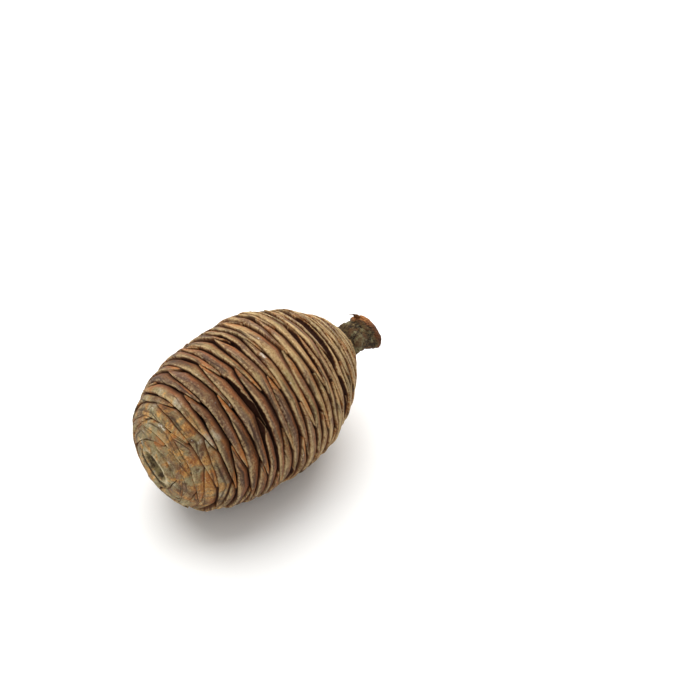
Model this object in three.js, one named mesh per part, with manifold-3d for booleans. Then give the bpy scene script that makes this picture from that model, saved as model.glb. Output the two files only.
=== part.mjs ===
// A closed cone of the deodar cedar, Cedrus deodara, lying on its side with its tip towards +X.
//
// The woody stem runs on through the cone as its spindle. The scales are broad fans that grow from the
// spindle in a spiral, one every 137.5 degrees. Each lies over the ones before it, so that only the
// thick outer edge of a scale shows, as a long narrow lens, and the fans fill the barrel between
// spindle and outline. Three scales that follow each other in the spiral point three ways from the
// spindle. They share one node, a tier, joined by a thin hub where their narrow claws meet.
import * as THREE from "three";
import { mergeVertices } from "three/addons/utils/BufferGeometryUtils.js";
import Module from "manifold-3d";

const wasm = await Module();
wasm.setup();

// Driving dimensions, in millimetres and degrees.
const BODY_LENGTH = 93; // of the barrel, from the stem's collar to the tip
const BODY_RADIUS = 31; // at its widest
const WIDEST_AT = 0.44; // of the length, from the stem
const STEM_END_ROUNDNESS = 1.6; // superellipse powers: 2 is an ellipse, and more is blunter
const TIP_END_ROUNDNESS = 2.85;

const SCALES_PER_TIER = 3;
const TIERS = 43;
const SCALES = SCALES_PER_TIER * TIERS;
const TURN = 137.508; // from one scale to the next in the spiral
const FAN_HALF_WIDTH = 51; // angle over which a scale's upper face falls back by EDGE_FALL
const EDGE_FALL = 3.2; // in steps of the spiral
const EDGE_BEND = 3.2; // power of that fall: the middle of a scale's edge is nearly level
const THICKEST = 7; // a scale's greatest thickness, in steps of the spiral
const NARROW_SIDE = -41; // where a scale's two edges end, measured from its middle
const WIDE_SIDE = 43;
const GAP = 0.6; // between the edges of scales that touch, in steps of the spiral
const INNER_GAP = 1; // and between their fans where they widen from the claws

const FIRST_EDGE_RADIUS = 6; // of the outline where the first scale starts, beside the stem
const LAST_EDGE_RADIUS = 8; // of the outline where the last scale ends, round the tip's dimple
const CROWDING = 0.25; // how much closer the scales' edges lie at the stem than at the tip

const SPINDLE_RADIUS = 4.2; // inside the barrel, at the stem
const SPINDLE_TIP_RADIUS = 2.6;
const SPINDLE_END = 80; // where the spindle stops, inside the tip
const CLAWS_FROM = 3; // the stretch of the spindle that carries scales
const CLAWS_TO = 79.5;
const HUB_CLEARANCE = 0.5; // from the spindle to the hubs
const HUB_DEPTH = 0.13; // share of the way from spindle to outline
const BLADE_FROM = 0.34; // share of the way out where a scale's fan has its full thickness
const FACETS = 6; // across a scale
const BETWEEN_CLAWS = [64, 82]; // where the bare hub has corners, measured from the scale before

const BUTTON_FROM = 81.5; // where the tip's button starts, beyond the spindle's end
// Its rim and dish, in pairs of a radius and a place along the barrel.
const BUTTON_RIM = [[7.6, 92.6], [6.6, 93.1], [5.6, 93.1], [4.6, 92.2], [3, 91.5], [0, 91.2]];
const BUTTON_SPREADS_OVER = 14; // of the last scales
const BUTTON_GAP = 0.6; // over them, in steps of the spiral
const BUTTON_FACETS = 36;

const STEM_LENGTH = 13; // of the stem, out of the barrel
const STEM_DROP = 4.5; // how far its end bends down
const STEM_SIDE = 1; // and to the side
const LEAN_FROM = 60; // where the cone starts to lean to its tip
const TIP_DROP = 1; // how far it leans down
const TIP_SIDE = 1; // and to the side

const REST_DEPTH = 0.45; // how much the scales' edges are pressed flat where the cone rests

const SCALE_COLOUR = 0x8d7253;
const STEM_COLOUR = 0x5d5140;
const TIP_COLOUR = 0x6b5a42;

const radians = THREE.MathUtils.degToRad;
const mix = THREE.MathUtils.lerp;

// --- The barrel's outline -------------------------------------------------------------------------

// Radius of the barrel at a share of its length: two quarters of superellipses that meet at the widest.
function barrelRadius(share) {
  const stemSide = share < WIDEST_AT;
  const away = stemSide ? 1 - share / WIDEST_AT : (share - WIDEST_AT) / (1 - WIDEST_AT);
  const power = stemSide ? STEM_END_ROUNDNESS : TIP_END_ROUNDNESS;
  return BODY_RADIUS * Math.max(0, 1 - away ** power) ** (1 / power);
}

// Points along the outline, each with its distance from the stem measured along the outline.
function traceOutline(steps) {
  const points = [{ x: 0, radius: 0, along: 0 }];
  for (let i = 1; i <= steps; i++) {
    const share = (1 - Math.cos((Math.PI * i) / steps)) / 2;
    const before = points[i - 1];
    const x = share * BODY_LENGTH;
    const radius = barrelRadius(share);
    points.push({ x, radius, along: before.along + Math.hypot(x - before.x, radius - before.radius) });
  }
  return points;
}

const OUTLINE = traceOutline(600);

// The outline's point at a distance along it.
function outlineAt(along) {
  const next = Math.max(1, OUTLINE.findIndex((point) => point.along >= along));
  const [a, b] = [OUTLINE[next - 1], OUTLINE[next]];
  const t = (along - a.along) / (b.along - a.along);
  return { x: mix(a.x, b.x, t), radius: mix(a.radius, b.radius, t) };
}

const EDGES_FROM = OUTLINE.find((point) => point.radius >= FIRST_EDGE_RADIUS).along;
const EDGES_TO = OUTLINE.findLast((point) => point.radius >= LAST_EDGE_RADIUS).along;

// --- The stack of scales --------------------------------------------------------------------------

// The spindle's radius at a place along it.
function spindleRadius(x) {
  return mix(SPINDLE_RADIUS, SPINDLE_TIP_RADIUS, x / SPINDLE_END);
}

// A level counts steps of the spiral, from the stem's end of the stack. Each level is a shallow bowl,
// whose section is a straight line from the spindle out to the outline. Outward runs from 0 to 1 on it.
function bowlPoint(level, outward) {
  const share = (level + THICKEST) / (SCALES - 1 + THICKEST);
  const edgeShare = share * (1 - CROWDING + CROWDING * share);
  const edge = outlineAt(mix(EDGES_FROM, EDGES_TO, edgeShare));
  const clawX = mix(CLAWS_FROM, CLAWS_TO, share);
  const clawRadius = spindleRadius(clawX) + HUB_CLEARANCE;
  return new THREE.Vector2(mix(clawRadius, edge.radius, outward), mix(clawX, edge.x, outward));
}

// Level of the face of scale number k that looks to the tip, at an angle from the first scale's middle.
function upperLevel(k, angle) {
  const off = THREE.MathUtils.euclideanModulo(angle - k * TURN + 180, 360) - 180;
  return k - EDGE_FALL * Math.abs(off / FAN_HALF_WIDTH) ** EDGE_BEND;
}

// Level of its face that looks to the stem: it lies on the highest of the scales before it.
function lowerLevel(k, angle) {
  const under = [2, 3, 5, 8, 13].map((steps) => upperLevel(k - steps, angle));
  return Math.max(...under, k - THICKEST);
}

// The levels between which a tier's hub lies.
function hubLevels(tier) {
  const middle = tier * SCALES_PER_TIER + 1 - THICKEST / 2;
  const half = (SCALES_PER_TIER - GAP) / 2;
  return [middle - half, middle + half];
}

// --- Solids ---------------------------------------------------------------------------------------

// The cone's middle line isn't straight: its tip leans down and to one side, and so does the stem.
function bend(geometry) {
  const place = geometry.getAttribute("position");
  for (let i = 0; i < place.count; i++) {
    const x = place.getX(i);
    const lean = Math.max(0, (x - LEAN_FROM) / (BODY_LENGTH - LEAN_FROM)) ** 2;
    const stem = Math.max(0, -x / STEM_LENGTH) ** 2;
    place.setY(i, place.getY(i) + TIP_SIDE * lean + STEM_SIDE * stem);
    place.setZ(i, place.getZ(i) - TIP_DROP * lean - STEM_DROP * stem);
  }
  return geometry;
}

// A geometry's closed surface, as a manifold-3d solid.
function solid(geometry) {
  geometry.deleteAttribute("normal");
  geometry.deleteAttribute("uv");
  const merged = mergeVertices(geometry, 1e-4);
  const vertProperties = merged.getAttribute("position").array;
  return new wasm.Manifold(new wasm.Mesh({ numProp: 3, vertProperties, triVerts: merged.index.array }));
}

// A manifold-3d solid's surface, as a geometry.
function surface(made) {
  const { vertProperties, triVerts } = made.getMesh();
  return new THREE.BufferGeometry()
    .setAttribute("position", new THREE.BufferAttribute(vertProperties, 3))
    .setIndex(new THREE.BufferAttribute(triVerts, 1));
}

// A profile of radius against x, turned round the cone's axis.
function turned(profile, segments) {
  return new THREE.LatheGeometry(profile, segments).rotateZ(-Math.PI / 2);
}

// Where a scale's two faces, or the hub's, cross a plane through the cone's axis: pairs of corners, lower
// and upper, from the spindle outwards.
function section({ k, angle }, hub) {
  const corner = (level, outward) => {
    const { x: radius, y: x } = bowlPoint(level, outward);
    return [x, radius * Math.cos(radians(angle)), radius * Math.sin(radians(angle))];
  };
  const pairs = [0, HUB_DEPTH].map((outward) => hub.map((level) => corner(level, outward)));
  if (k === undefined) return pairs;
  const blade = [[BLADE_FROM, INNER_GAP], [1, GAP]].map(([outward, gap]) =>
    [lowerLevel(k, angle) + gap / 2, upperLevel(k, angle) - gap / 2].map((level) => corner(level, outward)),
  );
  return [...pairs, ...blade];
}

// The planes in which a tier is cut into facets, in order round the spindle. Those through a scale
// have its number; the others cross the bare hub between two claws.
function sectionPlanes(number) {
  const planes = [];
  for (let i = 0; i < SCALES_PER_TIER; i++) {
    const k = number * SCALES_PER_TIER + i;
    for (let facet = 0; facet <= FACETS; facet++) {
      planes.push({ k, angle: k * TURN + mix(NARROW_SIDE, WIDE_SIDE, facet / FACETS) });
    }
    for (const between of i < SCALES_PER_TIER - 1 ? BETWEEN_CLAWS : []) {
      planes.push({ angle: k * TURN + between });
    }
  }
  const turn = ({ angle }) => THREE.MathUtils.euclideanModulo(angle, 360);
  return planes.sort((a, b) => turn(a) - turn(b));
}

// Three scales and the hub that joins their claws, as one closed surface.
function tierSurface(number) {
  const hub = hubLevels(number);
  const corners = [];
  const quad = (a, b, c, d) => corners.push(...a, ...b, ...c, ...a, ...c, ...d);

  const planes = sectionPlanes(number);
  planes.forEach((plane, i) => {
    const next = planes[(i + 1) % planes.length];
    const a = section(plane, hub);
    const b = section(next, hub);
    const last = plane.k !== undefined && plane.k === next.k ? a.length - 1 : 1;
    const [low, high] = [0, 1];
    quad(a[0][high], b[0][high], b[0][low], a[0][low]);
    for (let step = 1; step <= last; step++) {
      quad(a[step - 1][high], a[step][high], b[step][high], b[step - 1][high]);
      quad(b[step - 1][low], b[step][low], a[step][low], a[step - 1][low]);
    }
    quad(a[last][low], b[last][low], b[last][high], a[last][high]);
    for (let step = last + 1; step < a.length; step++) {
      quad(a[step - 1][high], a[step][high], a[step][low], a[step - 1][low]);
    }
    for (let step = last + 1; step < b.length; step++) {
      quad(b[step - 1][low], b[step][low], b[step][high], b[step - 1][high]);
    }
  });
  return new THREE.BufferGeometry().setAttribute("position", new THREE.Float32BufferAttribute(corners, 3));
}

// Everything under the surface that the cone rests on.
function underFloor() {
  const size = 2 * BODY_LENGTH;
  const top = REST_DEPTH - BODY_RADIUS;
  return solid(new THREE.BoxGeometry(size, size, size).translate(BODY_LENGTH / 2, 0, top - size / 2));
}

const floor = underFloor();

// A tier, pressed flat where it touches the floor.
function tier(number) {
  return surface(solid(bend(tierSurface(number))).subtract(floor));
}

// The stem with its collar, and the spindle that it runs on into.
function stemAndSpindle() {
  const spindle = [SPINDLE_END, 75, 70, 65, LEAN_FROM, 2.2].map((x) => [spindleRadius(x), x]);
  const profile = [
    [0, SPINDLE_END], ...spindle, [5.4, 1.2], [6.4, -0.4], [6, -3], [5.7, -6], [6, -8.5],
    [6.1, -10.8], [5.2, -12.4], [3, -STEM_LENGTH], [0, 0.3 - STEM_LENGTH],
  ].map(([radius, x]) => new THREE.Vector2(radius, x));
  return bend(turned(profile.reverse(), 16));
}

// The last tiny scales, grown together into a dished button that closes the tip. It spreads out over
// the last full scales, down to wherever their edges end.
function tipButton() {
  const ring = (angle) => {
    const scales = [...Array(BUTTON_SPREADS_OVER).keys()].map((i) => SCALES - 1 - i);
    const top = Math.max(...scales.map((k) => upperLevel(k, angle))) + BUTTON_GAP;
    const points = [new THREE.Vector2(0, BUTTON_FROM), new THREE.Vector2(SPINDLE_TIP_RADIUS, BUTTON_FROM)];
    points.push(bowlPoint(top, 0.3), bowlPoint(top, 0.97), bowlPoint(top, 1));
    points.push(...BUTTON_RIM.map(([radius, x]) => new THREE.Vector2(radius, x)));
    return points.map(({ x: radius, y: x }) => [
      x, radius * Math.cos(radians(angle)), radius * Math.sin(radians(angle)),
    ]);
  };
  const corners = [];
  const turn = 360 / BUTTON_FACETS;
  for (let i = 0; i < BUTTON_FACETS; i++) {
    const a = ring(i * turn);
    const b = ring(((i + 1) % BUTTON_FACETS) * turn);
    for (let step = 1; step < a.length; step++) {
      corners.push(...a[step - 1], ...b[step], ...a[step], ...a[step - 1], ...b[step - 1], ...b[step]);
    }
  }
  const made = new THREE.BufferGeometry();
  made.setAttribute("position", new THREE.Float32BufferAttribute(corners, 3));
  return surface(solid(bend(made)));
}

// --- The cone ---------------------------------------------------------------------------------------

const wood = (color, roughness) => new THREE.MeshStandardMaterial({ color, roughness, metalness: 0 });
const scaleMaterial = wood(SCALE_COLOUR, 0.75);
const stemMaterial = wood(STEM_COLOUR, 0.9);
const tipMaterial = wood(TIP_COLOUR, 0.85);

const cone = new THREE.Group();

function addPiece(name, geometry, material) {
  const piece = new THREE.Mesh(geometry, material);
  piece.name = name;
  cone.add(piece);
}

addPiece("stem_and_spindle", stemAndSpindle(), stemMaterial);
for (let number = 0; number < TIERS; number++) {
  addPiece(`scale_tier_${String(number + 1).padStart(2, "0")}`, tier(number), scaleMaterial);
}
addPiece("tip_button", tipButton(), tipMaterial);

// The origin is on the floor, under the middle of the cone.
const box = new THREE.Box3().setFromObject(cone);
const middle = box.getCenter(new THREE.Vector3());
cone.position.set(-middle.x, -middle.y, -box.min.z);

export default cone;
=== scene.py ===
import math

import bpy
import numpy as np
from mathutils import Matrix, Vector, noise


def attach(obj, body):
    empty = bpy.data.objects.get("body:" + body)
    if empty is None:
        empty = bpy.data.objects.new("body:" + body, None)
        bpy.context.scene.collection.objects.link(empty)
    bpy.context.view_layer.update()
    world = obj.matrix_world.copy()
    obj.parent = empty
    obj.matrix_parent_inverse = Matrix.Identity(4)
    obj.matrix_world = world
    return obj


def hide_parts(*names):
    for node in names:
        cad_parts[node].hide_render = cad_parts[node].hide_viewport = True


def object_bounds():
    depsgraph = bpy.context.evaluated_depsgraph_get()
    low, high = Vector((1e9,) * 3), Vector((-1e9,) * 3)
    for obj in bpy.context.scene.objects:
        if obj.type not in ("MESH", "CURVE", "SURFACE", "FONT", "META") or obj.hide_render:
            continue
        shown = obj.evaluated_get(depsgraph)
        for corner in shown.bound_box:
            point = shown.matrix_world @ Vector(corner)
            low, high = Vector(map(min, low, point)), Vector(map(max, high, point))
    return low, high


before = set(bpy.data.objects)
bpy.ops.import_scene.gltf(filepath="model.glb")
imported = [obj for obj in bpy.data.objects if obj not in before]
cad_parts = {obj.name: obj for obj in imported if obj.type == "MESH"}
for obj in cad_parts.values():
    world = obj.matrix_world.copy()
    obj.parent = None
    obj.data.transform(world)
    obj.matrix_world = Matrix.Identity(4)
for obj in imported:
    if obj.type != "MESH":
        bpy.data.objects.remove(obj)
cad_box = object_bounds()


# The stem and the spindle. One woody axis: a thumb-thick stub of twig in rough grey bark, snapped off so
# that the orange heartwood and one long splinter show, runs on through the cone as the bare round spindle
# that every scale grows from.

MM = 0.001
STEM_LENGTH = 13
BODY_LENGTH = 93
AXIS_HEIGHT = 30.55
AXIS = Vector((cad_box[0].x / MM + STEM_LENGTH, 0, AXIS_HEIGHT))  # where stem and body meet
LEAN_FROM = 60
TIP_DROP, TIP_ASIDE = 1.0, 1.0
STEM_DROP, STEM_ASIDE = 4.5, 1.0


def bent(points):
    """The cone's middle line isn't straight: the tip leans down and aside, and the stem droops."""
    points = np.array(points, float)
    x = points[..., 0]
    lean = np.clip((x - LEAN_FROM) / (BODY_LENGTH - LEAN_FROM), 0, None) ** 2
    droop = np.clip(-x / STEM_LENGTH, 0, None) ** 2
    points[..., 1] += STEM_ASIDE * droop + TIP_ASIDE * lean
    points[..., 2] -= TIP_DROP * lean + STEM_DROP * droop
    return points


def grown(name, points, faces, attributes, material, *nodes):
    """Makes a piece from points in millimetres on the cone's own axis, and stands it for its nodes."""
    places = (bent(points) + np.array(AXIS)) * MM
    places[:, 2] = np.clip(places[:, 2], 0, None)
    mesh = bpy.data.meshes.new(name)
    mesh.from_pydata(places.tolist(), [], faces)
    for key, values in attributes.items():
        values = np.asarray(values, np.float32)
        kind, slot = ("FLOAT_VECTOR", "vector") if values.ndim == 2 else ("FLOAT", "value")
        mesh.attributes.new(key, kind, "POINT").data.foreach_set(slot, values.ravel())
    mesh.polygons.foreach_set("use_smooth", [True] * len(mesh.polygons))
    mesh.materials.append(material)
    piece = bpy.data.objects.new(name, mesh)
    bpy.context.scene.collection.objects.link(piece)
    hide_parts(*nodes)
    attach(piece, "root")
    return piece


def rough(x, y, z, octaves=4):
    """Uneven growth at a place: about -1 to 1."""
    return noise.fractal(Vector((x, y, z)), 0.9, 2.1, octaves)


def clamped(value):
    """A number cut off to lie from 0 to 1."""
    return min(1, max(0, value))


def tube_faces(rows, around, first=0):
    """The faces between rings of points that follow each other."""
    faces = []
    for row in range(rows - 1):
        a, b = first + row * around, first + (row + 1) * around
        for i in range(around):
            j = (i + 1) % around
            faces.append((a + i, a + j, b + j, b + i))
    return faces


class Shade:
    """A number, a direction or a colour on its way through the nodes of a material."""

    tree = None

    def __init__(self, socket):
        self.socket = socket

    @classmethod
    def node(cls, kind, settings=None, sockets=None, out=0):
        made = cls.tree.nodes.new(kind)
        for key, value in (settings or {}).items():
            if key == "stops":
                ramp = made.color_ramp
                while len(ramp.elements) < len(value):
                    ramp.elements.new(0.5)
                for element, (place, colour) in zip(ramp.elements, value):
                    element.position, element.color = place, colour
            else:
                setattr(made, key, value)
        for key, value in (sockets or {}).items():
            if isinstance(value, Shade):
                cls.tree.links.new(value.socket, made.inputs[key])
            else:
                made.inputs[key].default_value = value
        return cls(made.outputs[out])

    def _joined(self, other, operation, swapped=False):
        a, b = (other, self) if swapped else (self, other)
        kinds = {side.socket.type for side in (a, b) if isinstance(side, Shade)}
        if "RGBA" in kinds:
            a, b = (side if isinstance(side, (Shade, tuple)) else (side, side, side, 1) for side in (a, b))
            settings = {"data_type": "RGBA", "blend_type": operation}
            return Shade.node("ShaderNodeMix", settings, {"Factor": 1.0, 6: a, 7: b}, out=2)
        if "VECTOR" in kinds:
            a, b = (side if isinstance(side, (Shade, tuple)) else (side, side, side) for side in (a, b))
            return Shade.node("ShaderNodeVectorMath", {"operation": operation}, {0: a, 1: b})
        return Shade.node("ShaderNodeMath", {"operation": operation}, {0: a, 1: b})

    def __add__(self, other):
        return self._joined(other, "ADD")

    def __radd__(self, other):
        return self._joined(other, "ADD", swapped=True)

    def __sub__(self, other):
        return self._joined(other, "SUBTRACT")

    def __rsub__(self, other):
        return self._joined(other, "SUBTRACT", swapped=True)

    def __mul__(self, other):
        return self._joined(other, "MULTIPLY")

    def __rmul__(self, other):
        return self._joined(other, "MULTIPLY", swapped=True)


def dye(code):
    """A colour as paint makers write it, made linear."""
    parts = [int(code[i : i + 2], 16) / 255 for i in (0, 2, 4)]
    return tuple(p / 12.92 if p <= 0.04045 else ((p + 0.055) / 1.055) ** 2.4 for p in parts) + (1.0,)


def kept(name, out="Fac"):
    """A number that the mesh carries at each of its points, or, with out="Vector", a place."""
    return Shade.node("ShaderNodeAttribute", {"attribute_name": name}, out=out)


def fade(value, low, high):
    """0 below low, 1 above high, and smooth between. low may be the greater."""
    span = {"Value": value, "From Min": low, "From Max": high}
    return Shade.node("ShaderNodeMapRange", {"interpolation_type": "SMOOTHSTEP"}, span)


def mottle(where, stretch, detail=3, shift=0.0, roughness=0.55):
    """Blotches from about 0.25 to 0.75, with so many to the millimetre along each way of the grain."""
    place = where * stretch + (shift, shift * 0.7, shift * 1.3)
    sockets = {"Vector": place, "Scale": 1.0, "Detail": detail, "Roughness": roughness}
    return Shade.node("ShaderNodeTexNoise", {"normalize": True}, sockets)


def stain(under, over, mask):
    """One colour laid over another where the mask says."""
    return Shade.node("ShaderNodeMix", {"data_type": "RGBA"}, {"Factor": mask, 6: under, 7: over}, out=2)


def finish_of(name, paint):
    """A material whose colour, roughness and bump height come from paint()."""
    material = bpy.data.materials.new(name)
    material.use_nodes = True
    Shade.tree = material.node_tree
    shader = Shade.tree.nodes["Principled BSDF"]
    colour, roughness, height, depth = paint()
    Shade.tree.links.new(colour.socket, shader.inputs["Base Color"])
    Shade.tree.links.new(roughness.socket, shader.inputs["Roughness"])
    bump = Shade.node("ShaderNodeBump", None, {"Height": height, "Distance": depth * MM, "Strength": 1.0})
    Shade.tree.links.new(bump.socket, shader.inputs["Normal"])
    shader.inputs["Specular IOR Level"].default_value = 0.3
    return material


def bark():
    grain = kept("grain", "Vector")
    torn, fresh = kept("torn"), kept("fresh")
    plates = mottle(grain, (0.4, 0.6, 0.6), 5, roughness=0.65)
    pits = mottle(grain, (1.1, 1.5, 1.5), 5, 7.0, 0.75)
    fibre = mottle(grain, (0.4, 2.4, 2.4), 4, 3.0, 0.7)
    colour = stain(dye("342311"), dye("675332"), fade(plates, 0.4, 0.64))
    colour = stain(colour, dye("140a04"), fade(pits, 0.5, 0.38))
    colour = stain(colour, dye("ab9668"), fade(pits, 0.56, 0.68) * 0.8)
    lichen = fade(mottle(grain, (0.22, 0.22, 0.22), 3, 15.0) + (pits - 0.5) * 0.3, 0.52, 0.62)
    colour = stain(colour, dye("8d8662"), lichen * 0.6)
    damp = fade(mottle(grain, (0.3, 0.3, 0.3), 3, 11.0), 0.52, 0.64)
    colour = stain(colour, dye("5e3d22"), damp * 0.7)
    wood = stain(dye("47260f"), dye("7d4a27"), fade(fibre + (pits - 0.5) * 0.5, 0.38, 0.62))
    lively = stain(dye("8a4114"), dye("c98f50"), fade(fibre + (pits - 0.5) * 0.4, 0.34, 0.66))
    wood = stain(wood, lively, fresh)
    wood = stain(wood, dye("24120a"), fade(pits, 0.48, 0.36) * 0.8)
    wood = stain(wood, dye("cbb894"), fade(pits, 0.64, 0.74) * 0.7)
    colour = stain(colour, wood, torn)
    height = plates * 0.5 + pits * 0.9 + fibre * 0.25
    return colour, 0.82 + pits * 0.15, height, 1.1


bark_finish = finish_of("bark", bark)

# Radius of the stem and spindle, from the broken end, where x is negative, to inside the tip.
BREAK_AT = -12.8
SPINDLE_RADIUS, SPINDLE_TIP_RADIUS, SPINDLE_END = 4.2, 2.6, 80
AXIS_STATIONS = (BREAK_AT, -12.2, -11, -8.5, -6, -3, -0.6, 0.8, 2.4, SPINDLE_END)
AXIS_RADII = (4.9, 5.6, 6.1, 5.9, 5.6, 6.0, 6.5, 5.6, SPINDLE_RADIUS, SPINDLE_TIP_RADIUS)
CROWN_TOWARD = 122  # degrees, of the shoulder of torn wood


def stem_and_spindle():
    around = 120
    bark_rows, spindle_rows, bare_from = 72, 12, 4
    along = [BREAK_AT + 0.22 * i for i in range(bark_rows)]
    along += [bare_from + (SPINDLE_END - bare_from) * i / spindle_rows for i in range(1, spindle_rows + 1)]
    points, torn, fresh, grain = [], [], [], []
    for x in along:
        for i in range(around):
            a = math.tau * i / around
            y, z = math.cos(a), math.sin(a)
            radius = np.interp(x, AXIS_STATIONS, AXIS_RADII)
            outside = clamped((1.5 - x) / 2)
            lump = 0.6 * rough(x * 0.22, y * 1.1, z * 1.1, 3) + 0.4 * rough(x * 0.8, y * 3.2, z * 3.2, 4)
            # On the upper side the break left a shoulder of torn wood standing up.
            crown = math.exp(-(((math.degrees(a) - CROWN_TOWARD) / 42) ** 2))
            shoulder = crown * clamped((-6.4 - x) / 1.3)
            radius += outside * lump + shoulder * (2.1 + 0.5 * rough(x * 0.9, y * 3, z * 3, 3))
            points.append((x, radius * y, radius * z))
            ragged = -9.7 - 1.6 * rough(y * 2, z * 2, 4.0, 3) + 3.2 * crown
            torn.append(clamped((ragged - x) / 0.8))
            fresh.append(clamped(1.5 * crown - 0.25))
            grain.append((x, radius * y, radius * z))
    faces = tube_faces(len(along), around)
    # The broken face: rings that step in and out where the fibres let go at different lengths.
    rings = 9
    start = 0
    for ring in range(1, rings + 1):
        share = 1 - ring / rings
        here = len(points)
        for i in range(around if ring < rings else 1):
            a = math.tau * i / around
            rim = Vector(points[i])
            y, z = share * rim.y, share * rim.z
            fibres = 0.9 * rough(y * 0.5, z * 0.5, 9.0, 3) + 0.35 * rough(y * 2.2, z * 2.2, 2.0, 3)
            sunk = (1 - share) * 0.4 + fibres * (1 - share**3) + 0.5 * max(0, z) / 4
            points.append((BREAK_AT + sunk, y, z))
            torn.append(1.0)
            fresh.append(fresh[i] * share)
            grain.append((points[-1][0] * 0.3, y, z))
        for i in range(around):
            j = (i + 1) % around
            if ring < rings:
                faces.append((start + j, start + i, here + i, here + j))
            else:
                faces.append((start + j, start + i, here))
        start = here
    # The inner end of the spindle.
    end = (len(along) - 1) * around
    faces.append(tuple(end + i for i in range(around)))
    # The splinter: a flat tapering sliver of wood that sprang up and curls back over the stem.
    here = len(points)
    steps, wide = 14, 6

    def spot(s, w, skin):
        return here + (s * wide + w) * 2 + skin

    for s in range(steps):
        t = s / (steps - 1)
        for w in range(wide):
            side = w / (wide - 1) - 0.5
            width = 4.2 * (1 - t) ** 0.7 + 0.3
            x = -8.2 + 0.4 * t + 3.6 * t**2.5 + 0.4 * rough(t * 3, side * 2, 1.0, 2)
            y = -3.0 + side * width * 0.7 - 0.6 * t
            z = 5.6 + side * width * 0.5 + 4.4 * t - 1.3 * t**3 + 0.25 * rough(t * 4, side * 3, 5.0, 2)
            for skin in (0, 1):
                points.append((x - skin * (1.3 - 0.8 * t), y, z + skin * 0.6 * (1 - t)))
                torn.append(1.0 - 0.6 * t)
                fresh.append(1.0 - 0.7 * t)
                grain.append((z * 0.6, y, x + skin))
    for s in range(steps - 1):
        for w in range(wide - 1):
            faces.append((spot(s, w, 0), spot(s + 1, w, 0), spot(s + 1, w + 1, 0), spot(s, w + 1, 0)))
            faces.append((spot(s, w, 1), spot(s, w + 1, 1), spot(s + 1, w + 1, 1), spot(s + 1, w, 1)))
        for w in (0, wide - 1):
            edge = (spot(s, w, 0), spot(s, w, 1), spot(s + 1, w, 1), spot(s + 1, w, 0))
            faces.append(edge if w == 0 else edge[::-1])
    for s in (0, steps - 1):
        for w in range(wide - 1):
            edge = (spot(s, w, 0), spot(s, w + 1, 0), spot(s, w + 1, 1), spot(s, w, 1))
            faces.append(edge if s == 0 else edge[::-1])
    return points, faces, {"torn": torn, "fresh": fresh, "grain": grain}


grown("stem_and_spindle_wood", *stem_and_spindle(), bark_finish, "stem_and_spindle")


# The scales. Thin-clawed woody fans in one spiral up the spindle, each lying over the ones before it, so
# that only its thick weathered edge shows: a long lens with a rounded lip towards the tip. Three that
# follow each other meet round the spindle and make a tier.

TIERS = 43
SCALES_PER_TIER = 3
SCALES = SCALES_PER_TIER * TIERS
TURN = 137.508  # degrees from one scale to the next
FAN = 51.0  # degrees over which a scale's upper face falls by its DROP
THICKEST = 7  # of a scale, in levels: each scale starts one level above the last

# The barrel's outline: two quarters of superellipses that meet where it is widest.
BODY_RADIUS, WIDEST_AT = 31, 0.44
STEM_END_ROUNDNESS, TIP_END_ROUNDNESS = 1.6, 2.85
FIRST_EDGE_RADIUS, LAST_EDGE_RADIUS = 6, 8
CROWDING = 0.25  # how much closer the edges lie at the stem than at the tip

outline_share = (1 - np.cos(np.linspace(0, math.pi, 1200))) / 2
stem_side = outline_share < WIDEST_AT
away = np.where(stem_side, 1 - outline_share / WIDEST_AT, (outline_share - WIDEST_AT) / (1 - WIDEST_AT))
power = np.where(stem_side, STEM_END_ROUNDNESS, TIP_END_ROUNDNESS)
OUTLINE_X = outline_share * BODY_LENGTH
OUTLINE_R = BODY_RADIUS * np.clip(1 - away**power, 0, None) ** (1 / power)
OUTLINE_S = np.concatenate([[0], np.cumsum(np.hypot(np.diff(OUTLINE_X), np.diff(OUTLINE_R)))])
EDGES_FROM = OUTLINE_S[np.argmax(OUTLINE_R >= FIRST_EDGE_RADIUS)]
EDGES_TO = OUTLINE_S[len(OUTLINE_R) - 1 - np.argmax(OUTLINE_R[::-1] >= LAST_EDGE_RADIUS)]

# No two scales grow alike. The plain ones at the end of each list lie before the first scale: a negative
# number of a scale finds them, so that the first scales have something to lie on.
PLAIN = 40
chance = np.random.RandomState(29)
LIFT = np.append(chance.uniform(-0.55, 0.55, SCALES), np.zeros(PLAIN))
DROP = np.append(chance.uniform(1.8, 2.8, SCALES), np.full(PLAIN, 2.3))
SKEW = np.append(chance.uniform(-4, 4, SCALES), np.zeros(PLAIN))
PROUD = np.append(chance.uniform(-0.45, 0.45, SCALES), np.zeros(PLAIN))
LOOSE = chance.uniform(0.3, 1.1, SCALES) ** 2
PHASES = np.append(chance.uniform(0, math.tau, (SCALES, 3)), np.zeros((PLAIN, 3)), 0)

CLAWS_FROM, CLAWS_TO = 3, 79.5  # the stretch of the spindle that carries scales
CLAW_CLEARANCE = 0.5  # from the spindle
DEEPEST = 0.87  # how much of the way in to the claws a scale is built


def share_of_stack(level):
    return (np.asarray(level, float) + THICKEST) / (SCALES - 1 + THICKEST)


def spindle_radius(x):
    return SPINDLE_RADIUS - (SPINDLE_RADIUS - SPINDLE_TIP_RADIUS) * x / SPINDLE_END


def along_of(level):
    """Where a level of the stack meets the outline, in millimetres along it from the stem."""
    share = share_of_stack(level)
    return EDGES_FROM + (EDGES_TO - EDGES_FROM) * share * (1 - CROWDING + CROWDING * share)


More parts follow.
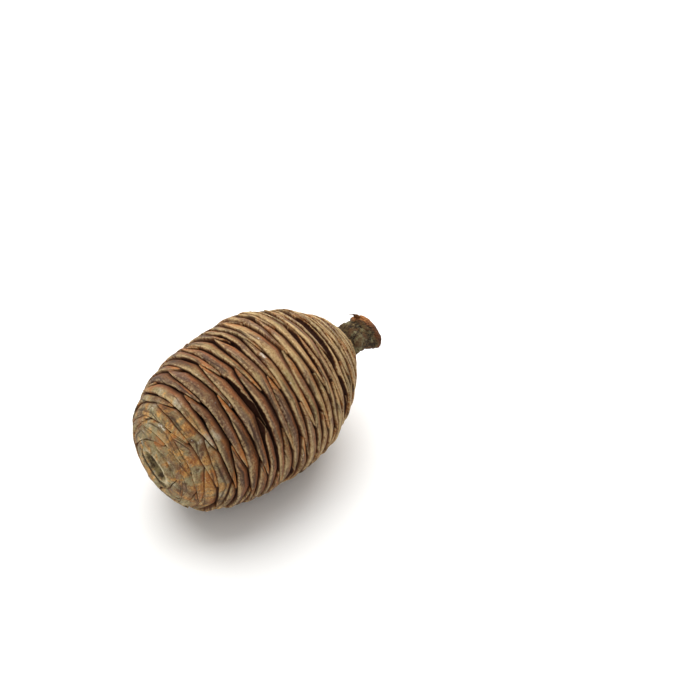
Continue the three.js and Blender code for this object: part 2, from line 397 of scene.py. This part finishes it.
def bowl(level, depth):
    """x and radius of a level's bowl, so deep under the outline. The bowl is straight, edge to spindle."""
    s = along_of(level)
    edge_x, edge_r = np.interp(s, OUTLINE_S, OUTLINE_X), np.interp(s, OUTLINE_S, OUTLINE_R)
    claw_x = CLAWS_FROM + (CLAWS_TO - CLAWS_FROM) * share_of_stack(level)
    claw_r = spindle_radius(claw_x) + CLAW_CLEARANCE
    length = np.hypot(edge_x - claw_x, edge_r - claw_r)
    t = np.minimum(depth / length, DEEPEST)
    return edge_x + (claw_x - edge_x) * t, edge_r + (claw_r - edge_r) * t


def turned(angle):
    """An angle, brought between -180 and 180."""
    return (angle + 180) % 360 - 180


# Height of the waves in a scale's edge, in levels, and how many go to 100 degrees.
WAVES = ((0.17, 1.3), (0.07, 3.1), (0.03, 6.3))


def upper(k, angle):
    """Level of the face of scale k that looks to the tip."""
    off = turned(angle - k * TURN)
    waves = sum(
        height * np.sin(off * turns * math.tau / 100 + phase)
        for (height, turns), phase in zip(WAVES, PHASES[k])
    )
    return k + LIFT[k] + waves - DROP[k] * np.abs((off - SKEW[k]) / FAN) ** 3


def lower(k, angle):
    """Level of its other face, which lies on the scales before it."""
    return np.maximum.reduce([upper(k - m, angle) for m in range(1, 15)] + [np.full(len(angle), k - 9.0)])


# Where scales have sprung apart as they dried: millimetres from the stem, angles from and to, and width.
SPRUNG = (
    (76.5, -8, 78, 2.9), (35, 38, 96, 3.2), (37, -14, 32, 1.5), (45, 30, 84, 1.3), (55, -6, 40, 0.8),
    (92, 36, 74, 1.7), (66, 88, 120, 0.8), (81.5, 98, 122, 0.9), (58, 200, 250, 1.4), (67, 300, 345, 1.2),
    (88, 215, 255, 0.9), (38, 150, 200, 1.2), (114, 175, 300, 1.3), (110.5, 165, 310, 1.2),
    (106, 190, 320, 1.3),
)

# Where a drop of resin has dried white: millimetres from the stem, angle, and half its size either way.
RESIN = (
    (105.4, 91, 0.9, 2.4), (61, 75, 1.0, 1.8), (36.5, 66, 0.7, 1.0), (72, 250, 1.0, 1.5),
    (50, 190, 0.8, 1.3),
)


def resin_at(along, angle, radius):
    dried = np.zeros(len(angle))
    for at, toward, wide, tall in RESIN:
        off = np.radians(turned(angle - toward)) * radius
        dried = np.maximum(dried, np.exp(-(((along - at) / wide) ** 2) - (off / tall) ** 2))
    return dried


def sprung(along, angle):
    wide = np.zeros(len(angle))
    for at, start, stop, width in SPRUNG:
        off = turned(angle - (start + stop) / 2)
        inside = np.clip(1 - (np.abs(off) / (stop - start) * 2) ** 2, 0, 1) ** 0.5
        wide = np.maximum(wide, width * inside * np.exp(-(((along - at) / 1.5) ** 2)))
    return wide


# Section through a scale's edge, from deep under its stem side, out over the lip, and in again:
# share of its thickness, depth in shares of its bevel, and further depth in millimetres.
SECTION = (
    (0, 1, 13), (0, 1, 5), (0, 1, 2), (0, 1, 0.8), (0, 1, 0.2), (0.015, 0.9, 0), (0.05, 0.77, 0),
    (0.1, 0.63, 0), (0.17, 0.49, 0), (0.25, 0.37, 0), (0.34, 0.26, 0), (0.44, 0.17, 0), (0.54, 0.1, 0),
    (0.64, 0.045, 0), (0.73, 0.01, 0), (0.81, 0, 0), (0.87, 0.01, 0), (0.92, 0.04, 0), (0.96, 0.1, 0),
    (0.985, 0.19, 0), (1, 0.34, 0), (1, 0.7, 0), (1, 1, 0.4), (1, 1, 2), (1, 1, 5), (1, 1, 13),
)


def streaks(points):
    """Places for the blotches round the tip, which are longer outward than round the cone."""
    y, z = points[..., 1], points[..., 2]
    radius = np.maximum(np.hypot(y, z), 0.5)
    return np.stack([5 * y / radius + 0.35 * y, 5 * z / radius + 0.35 * z, 0.3 * points[..., 0]], -1)


def wings(k):
    """The angles from scale k's middle at which its edge thins out to nothing, on either side."""
    reach = np.linspace(-68, 68, 249)
    middle = len(reach) // 2
    thick = upper(k, k * TURN + reach) - lower(k, k * TURN + reach)
    bare = np.where(thick < 0.75)[0]
    left = max([i for i in bare if i < middle], default=0)
    right = min([i for i in bare if i > middle], default=len(reach) - 1)
    return reach[left], reach[right]


def scale(k):
    """Rows of points over the section, in columns from one wing to the other."""
    columns = 100
    off = np.linspace(*wings(k), columns)
    angle = k * TURN + off
    low, high = lower(k, angle), upper(k, angle)
    per_level = (along_of(high) - along_of(low)) / (high - low)
    radius = np.interp(along_of(high), OUTLINE_S, OUTLINE_R)
    arc = np.radians(off) * np.maximum(radius, 9)

    # Near the stem and round the tip the scales are pressed tight, with hardly a step between them.
    snug = min(1, max(0, (along_of(k) - 100) / 12, (31 - along_of(k)) / 7))
    frayed = np.array([abs(rough(a * 0.55, k * 3.1, 0, 4)) for a in arc])
    chipped = np.array([max(0, rough(a * 0.17, k * 1.7, 5, 2)) for a in arc])
    ragged = frayed * 0.35 + chipped * 0.5
    opened = sprung(along_of(high), angle)
    spread = np.array([max(0, rough(a * 0.09, k * 5.3, 2, 2)) for a in arc]) * 0.7
    margin = 0.03 + ragged * (0.15 + 0.4 * LOOSE[k] + opened - 0.3 * snug)
    margin = margin + spread * LOOSE[k] * (1 - snug) + opened
    clearance = 0.05
    top = high - 0.04 / per_level
    low, high = low + clearance / per_level, high - margin / per_level
    high = np.maximum(high, low + 0.25)
    thickness = (high - low) * per_level
    bevel = np.clip(0.3 + 0.5 * thickness, 0.35, 2.3) * (1 - 0.65 * snug) * (0.65 + 0.4 * LOOSE[k])
    bevel = bevel + 0.4 * opened
    wave = np.array([rough(a * 0.1, k * 2.3, 8, 2) for a in arc]) * 0.35

    rows, resin = [], []
    for part, share_of_bevel, deeper in SECTION:
        # Only the edge has drawn back: below it the scale still lies against the next one.
        level = np.maximum(high, top) if part == 1 and deeper > 1 else low + (high - low) * part
        depth = share_of_bevel * bevel + deeper - (PROUD[k] + wave) * (1 - 0.6 * snug)
        if deeper == 0:
            depth = depth + np.array([rough(a * 0.9, part * 3, k * 1.1, 3) for a in arc]) * 0.07
        x, r = bowl(level, depth)
        a = np.radians(angle)
        rows.append(np.stack([x, r * np.cos(a), r * np.sin(a)], -1))
        resin.append(resin_at(along_of(level), angle, r) * (deeper == 0))
    points = np.array(rows)
    count = len(SECTION)
    across = np.repeat([[part] for part, _, _ in SECTION], columns, 1)
    deep = np.array([np.full(columns, b * 1.0) * bevel + d for _, b, d in SECTION])
    lateral = np.repeat([np.linspace(-1, 1, columns)], count, 0)
    own_pattern = np.full((count, columns), k * 7.31)
    grain = np.stack([np.repeat([arc], count, 0), across * thickness, own_pattern], -1)
    carried = {
        "across": across, "deep": deep, "lateral": lateral, "grain": grain,
        "tone": np.full((count, columns), chance.uniform(0, 1)),
        "tipward": points[..., 0] / BODY_LENGTH, "streak": streaks(points),
        "opened": np.repeat([opened], count, 0), "resin": np.array(resin),
    }
    carried = {key: v.reshape(-1, 3) if v.ndim == 3 else v.ravel() for key, v in carried.items()}
    faces = []
    for row in range(count):
        a, b = row * columns, (row + 1) % count * columns
        faces += [(a + c, a + c + 1, b + c + 1, b + c) for c in range(columns - 1)]
    faces.append(tuple(row * columns for row in range(count)))
    faces.append(tuple(row * columns + columns - 1 for row in reversed(range(count))))
    return points.reshape(-1, 3), faces, carried


def tip_wash(colour, mask, speck):
    """The tip's grey-green weathering with amber streaks, laid over a colour where the mask says."""
    streak = kept("streak", "Vector")
    broad = mottle(streak, (0.27, 0.27, 0.27), 5, 21.0, 0.6) + (speck - 0.5) * 0.5
    amber = mottle(streak, (0.36, 0.36, 0.36), 5, 33.0, 0.6) + (speck - 0.5) * 0.45
    wash = stain(colour, dye("8b825c"), fade(broad, 0.4, 0.54) * 0.8)
    wash = stain(wash, dye("bdb6a2"), fade(broad, 0.54, 0.66) * 0.75)
    golden = stain(dye("8a4c18"), dye("d9a152"), fade(speck + (broad - 0.5) * 0.6, 0.3, 0.68))
    wash = stain(wash, golden, fade(amber, 0.51, 0.61) * 0.8)
    wash = stain(wash, dye("4f3219"), fade(amber, 0.45, 0.33) * 0.75)
    wash = stain(wash, dye("3f2812"), fade(speck, 0.42, 0.3) * 0.6)
    wash = stain(wash, dye("dcd6c6"), fade(speck, 0.6, 0.72) * 0.5)
    return stain(colour, wash, mask)


def weathered_wood():
    grain = kept("grain", "Vector")
    across, deep, lateral = kept("across"), kept("deep"), kept("lateral")
    tipward, opened = kept("tipward"), kept("opened")
    fibre = mottle(grain, (1.2, 0.2, 1.0), 5, 1.0, 0.75)
    speck = mottle(grain, (0.95, 1.1, 1.0), 6, 5.0, 0.85)
    grit = mottle(grain, (1.2, 1.5, 1.0), 2, 41.0, 0.7)
    patch = mottle(grain, (0.12, 0.35, 1.0), 5, 9.0, 0.6)
    mood = mottle(grain, (0.06, 0.25, 1.0), 3, 91.0)
    bloom = mottle(grain, (0.07, 0.3, 1.0), 5, 37.0)
    amber = mottle(grain, (0.1, 0.25, 1.0), 4, 51.0) + (fibre - 0.5) * 0.3
    ends = fade(Shade.node("ShaderNodeMath", {"operation": "ABSOLUTE"}, {0: lateral}), 0.35, 0.98)

    # Brown wood bleached to straw, with greenish and purple-brown stretches, and lighter towards the stem.
    blend = patch + (fibre - 0.5) * 0.7 + (speck - 0.5) * 1.2 + (kept("tone") - 0.5) * 0.25
    blend = blend + fade(tipward, 0.64, 0.4) * 0.2
    colour = stain(dye("4a301b"), dye("7e5a36"), fade(blend, 0.28, 0.5))
    colour = stain(colour, dye("b08f5f"), fade(blend, 0.48, 0.78))
    colour = stain(colour, dye("7a6e45"), fade(mood + (speck - 0.5) * 0.3, 0.48, 0.64) * 0.6)
    # Painted shade: the middle stretch of the cone's length is darkened, and purple-brown is laid on more
    # there.
    painted_mid_shade = fade(tipward, 0.36, 0.66) * fade(tipward, 0.98, 0.8)
    purple = fade(bloom + (speck - 0.5) * 0.4 + painted_mid_shade * 0.06, 0.48, 0.66)
    colour = stain(colour, dye("6b5043"), purple * 0.75)
    colour = stain(colour, dye("4a3224"), painted_mid_shade * fade(mood + (grit - 0.5) * 0.6, 0.58, 0.4) * 0.62)

    # Redder wood on the flanks that were covered, and fresh orange where an edge thins out.
    # Depth under a scale's crest: it sets the redder covered flanks, and deeper down the painted shade
    # between scales.
    flank_and_shade_depth = deep * (1.0 + opened * 1.6) + (patch - 0.5) * 0.9 + (speck - 0.5) * 0.4
    flank = fade(flank_and_shade_depth, 0.06, 0.6) * fade(amber, 0.2, 0.58)
    colour = stain(colour, dye("86491f"), flank * 0.8)
    fresh = fade(across, 0.5, 0.05) * 0.4 + ends * 0.75
    colour = stain(colour, dye("ad6a2f"), fade(fresh * fade(amber, 0.36, 0.62), 0.0, 0.8) * 0.8)

    # Tip weathering, grit, the worn lip with painted highlight, dried resin and the dark lines between
    # layers.
    by_tip = fade(tipward + (patch - 0.5) * 0.3, 0.8, 0.95)
    colour = tip_wash(colour, by_tip, speck)
    colour = stain(colour, dye("c9ae80"), fade(speck, 0.6, 0.72) * 0.5)
    colour = stain(colour, dye("b5a27c"), fade(grit, 0.52, 0.72) * 0.3)
    # The pale lip is partly wear and partly painted highlight.
    wear_and_highlight = fade(across, 0.7, 0.94) * fade(patch + (grit - 0.5) * 0.9 - by_tip * 0.1, 0.34, 0.62)
    colour = stain(colour, dye("d2b888"), wear_and_highlight * 0.62)
    colour = stain(colour, dye("331e10"), fade(speck, 0.4, 0.28) * 0.75)
    colour = stain(colour, dye("3b2818"), fade(grit, 0.42, 0.28) * 0.5)
    dried = fade(kept("resin") * (grit * 4.0 - 1.2), 0.3, 0.8)
    colour = stain(colour, dye("d8d2c2"), dried * 0.75)
    crust = fade(mottle(grain, (0.35, 0.45, 1.0), 4, 77.0), 0.7, 0.76)
    colour = stain(colour, dye("d9d2c2"), crust * 0.8)
    layers = fade(mottle(grain, (0.05, 1.0, 1.0), 2, 121.0), 0.43, 0.36)
    layers = layers * fade(bloom + (grit - 0.5) * 0.4, 0.36, 0.5)
    colour = stain(colour, dye("3a2312"), layers * 0.75)

    # Painted shade: down between the scales, and most in gaps where scales sprang apart, the colour
    # darkens with depth.
    colour = stain(colour, dye("5a3114"), fade(flank_and_shade_depth, 0.4, 1.2) * 0.85)
    colour = stain(colour, dye("3a1a0a"), fade(flank_and_shade_depth, 1.1, 2.4) * 0.95)
    return colour, 0.6 + speck * 0.35, fibre * 0.3 + speck * 0.7 + patch * 0.5 - layers * 0.6, 0.6


scale_finish = finish_of("weathered_scale", weathered_wood)


def hub(number):
    """The ring round the spindle where a tier's three claws meet."""
    middle, half = number * SCALES_PER_TIER + 1 - THICKEST / 2, 1.2
    around = 36
    corners = []
    for level in (middle - half, middle + half):
        claw_x = CLAWS_FROM + (CLAWS_TO - CLAWS_FROM) * float(share_of_stack(level))
        outer, inner = [float(v) for v in bowl(level, math.inf)], (claw_x, spindle_radius(claw_x))
        corners += [outer, inner] if level < middle else [inner, outer]
    points = []
    for x, r in corners:
        for i in range(around):
            a = math.tau * i / around
            points.append((x, r * math.cos(a), r * math.sin(a)))
    # The last ring of faces closes on the first ring of points.
    faces = [tuple(corner % len(points) for corner in face) for face in tube_faces(5, around)]
    points = np.array(points)
    inside = {key: np.zeros(len(points)) for key in ("across", "lateral", "tone", "opened", "resin")}
    # A depth of 20 paints the hub with the darkest painted shade of the scales.
    inside.update(deep=np.full(len(points), 20.0), tipward=points[:, 0] / BODY_LENGTH)
    return points, faces, {**inside, "grain": points, "streak": streaks(points)}


for number in range(TIERS):
    members = [scale(number * SCALES_PER_TIER + n) for n in range(SCALES_PER_TIER)] + [hub(number)]
    points, faces, carried = [], [], {}
    for member_points, member_faces, member_carried in members:
        faces += [tuple(len(points) + corner for corner in face) for face in member_faces]
        points += member_points.tolist()
        for key, values in member_carried.items():
            carried.setdefault(key, []).append(values)
    carried = {key: np.concatenate(values) for key, values in carried.items()}
    node = f"scale_tier_{number + 1:02d}"
    grown(f"{node}_wood", points, faces, carried, scale_finish, node)


# The button. At the very tip the last scales stay tiny and grow together into a dished woody button,
# grey-brown and rough in its hollow, with a pale worn rim that has a painted highlight on one side.


def button_wood():
    grain = kept("grain", "Vector")
    rim, groove, hollow = kept("rim"), kept("groove"), kept("hollow")
    speck = mottle(grain, (1.2, 1.2, 1.2), 6, 2.0, 0.8)
    patch = mottle(grain, (0.35, 0.35, 0.35), 4, 5.0)
    colour = stain(dye("6b4e2e"), dye("a18c62"), fade(patch + (speck - 0.5) * 0.8, 0.34, 0.66))
    colour = tip_wash(colour, 0.85 - hollow * 0.85, speck)
    dish = stain(dye("382813"), dye("7b6c46"), fade(patch + (speck - 0.5) * 0.9, 0.36, 0.68))
    colour = stain(colour, dish, hollow)
    # Pale worn rim and ring crests, with painted highlight; then painted shadow down in the clefts.
    colour = stain(colour, dye("d6c8a4"), rim * fade(speck + (patch - 0.5) * 0.8, 0.34, 0.54) * 0.95)
    colour = stain(colour, dye("241006"), groove)
    return colour, 0.75 + speck * 0.2, speck * 0.8 + patch * 0.5, 0.5


button_finish = finish_of("button_wood", button_wood)


# The dish: a shallow oval off the middle, its long way at 37 degrees to the floor. Distances out from its
# own middle are stretched so that its lip is a circle, at the millimetres that LIP gives.
DISH_Y, DISH_Z = -0.4, 1.5
DISH_LONG, DISH_WIDE, DISH_REACH = 6.9, 3.8, 6.2
# Place along the cone against distance from the dish's middle, and beyond its lip from the cone's.
LIP = ((0, 3, 4.4, 5.4, 6.0, 6.3, 6.7, 7.4), (91.5, 91.6, 91.9, 92.6, 93.1, 93.15, 92.9, 92.8))
BROW = ((7.4, 9, 12, 16, 20), (92.8, 92.65, 92.4, 91.6, 90.4))
# Margins of the last scales stand as thin rings beside the dish, on its lower side.
RINGS = (6.3, 7.4, 8.6, 10.1)
RINGS_TOWARD = 225
RING_DEPTH = 0.9
SCALES_UNDER_BUTTON = 14


def button():
    around, rows = 240, 84
    angle = np.arange(around) * 360 / around
    last_scales = range(SCALES - SCALES_UNDER_BUTTON, SCALES)
    start = np.maximum.reduce([upper(k, angle) for k in last_scales]) + 0.35
    (x0, r0), (under_x, under_r) = bowl(start, 0.4), bowl(start, 5.0)
    points, rim, groove, hollow = [], [], [], []
    for n in range(rows):
        for i in range(around):
            a = math.radians(angle[i])
            y, z = math.cos(a), math.sin(a)
            t = max(0, n - 2) / (rows - 3)
            r = r0[i] * (1 - t) + 0.02 * t
            long = 0.8 * (r * y - DISH_Y) - 0.6 * (r * z - DISH_Z)
            wide = 0.6 * (r * y - DISH_Y) + 0.8 * (r * z - DISH_Z)
            from_dish = DISH_REACH * math.hypot(long / DISH_LONG, wide / DISH_WIDE)
            wobble = 0.35 * rough(y * 1.3, z * 1.3, 1.0, 3)
            lip = from_dish + wobble * 0.8
            beyond = from_dish + wobble * 1.3
            open_side = max(0, math.cos(a - math.radians(RINGS_TOWARD))) ** 0.4
            ringed = open_side if RINGS[0] < beyond < RINGS[-1] else 0
            cleft = ringed * clamped((min(abs(beyond - at) for at in RINGS) - 0.22) / 0.2)
            if n == 0:
                x, r = 81.5, 2.9
            elif n == 1:
                x, r = under_x[i], under_r[i]
            else:
                x = np.interp(lip, *LIP) if lip < LIP[0][-1] else np.interp(r, *BROW)
                x = min(x, x0[i] + 13.8 * t) if n > 2 else x0[i]
                x += 0.14 * rough(y * r * 0.4, z * r * 0.4, 3.0, 4) - RING_DEPTH * cleft
            points.append((x, r * y, r * z))
            # Painted highlight: the worn rim is paler on the side towards 40 degrees round the axis.
            lit_side_highlight = 0.55 + 0.45 * math.cos(a - math.radians(40))
            wear_and_highlight = lit_side_highlight * clamped(1 - abs(lip - RINGS[0]) / 1.1)
            # The ring crests are painted pale, wear with painted highlight, and the clefts between them
            # dark as painted shadow.
            from_crest = min(abs(beyond - 0.18 - at) for at in RINGS)
            rim.append(max(wear_and_highlight, 0.9 * ringed * clamped(1.6 - from_crest / 0.16)))
            groove.append(ringed * clamped((from_crest - 0.16) / 0.14))
            hollow.append(clamped((5.9 - lip) / 0.9))
    faces = tube_faces(rows, around)
    faces.append(tuple(reversed(range(around))))
    last = (rows - 1) * around
    faces.append(tuple(last + i for i in range(around)))
    points = np.array(points)
    carried = {"rim": rim, "groove": groove, "hollow": hollow, "grain": points, "streak": streaks(points)}
    return points, faces, carried


grown("tip_button_wood", *button(), button_finish, "tip_button")


# The floor, the lights and the camera. A plain pale studio sweep and large soft lamps, seen from above
# the tip's side.

floor_mesh = bpy.data.meshes.new("floor")
floor_mesh.from_pydata([(-3, -3, 0), (3, -3, 0), (3, 3, 0), (-3, 3, 0)], [], [(0, 1, 2, 3)])
floor = bpy.data.objects.new("floor", floor_mesh)
bpy.context.scene.collection.objects.link(floor)
paper = bpy.data.materials.new("pale_paper")
paper.use_nodes = True
paper_shader = paper.node_tree.nodes["Principled BSDF"]
paper_shader.inputs["Base Color"].default_value = (0.93, 0.93, 0.92, 1)
paper_shader.inputs["Roughness"].default_value = 0.9
floor_mesh.materials.append(paper)

world = bpy.data.worlds.new("studio")
bpy.context.scene.world = world
world.use_nodes = True
room_light = world.node_tree.nodes["Background"]
room_light.inputs["Color"].default_value = (1, 0.99, 0.97, 1)
room_light.inputs["Strength"].default_value = 0.575
bpy.context.scene.view_settings.view_transform = "Standard"

for name, place, size, power in (
    ("key_lamp", (-0.25, -0.42, 0.85), 1.5, 20),
    ("fill_lamp", (0.7, 0.6, 0.6), 0.8, 1),
):
    lamp = bpy.data.lights.new(name, "AREA")
    lamp.size, lamp.energy = size, power
    stand = bpy.data.objects.new(name, lamp)
    bpy.context.scene.collection.objects.link(stand)
    stand.location = place
    stand.rotation_mode = "QUATERNION"
    stand.rotation_quaternion = (Vector((0, 0, 0.03)) - Vector(place)).to_track_quat("-Z", "Y")

# The camera stands off along back, and is moved sideways and up so that the cone sits low to its left.
yaw, tilt = math.radians(46.5), math.radians(44)
back = Vector((math.cos(yaw) * math.cos(tilt), math.sin(yaw) * math.cos(tilt), math.sin(tilt)))
right = Vector((-math.sin(yaw), math.cos(yaw), 0))
up = back.cross(right)
lens = bpy.data.cameras.new("camera")
lens.lens, lens.sensor_width = 87.4, 36
camera = bpy.data.objects.new("camera", lens)
bpy.context.scene.collection.objects.link(camera)
middle = (AXIS + Vector((BODY_LENGTH / 2, 0, 0))) * MM
camera.location = middle + 0.621 * back + 0.0352 * right + 0.0187 * up
camera.rotation_mode = "QUATERNION"
camera.rotation_quaternion = (-back).to_track_quat("-Z", "Y")
bpy.context.scene.camera = camera
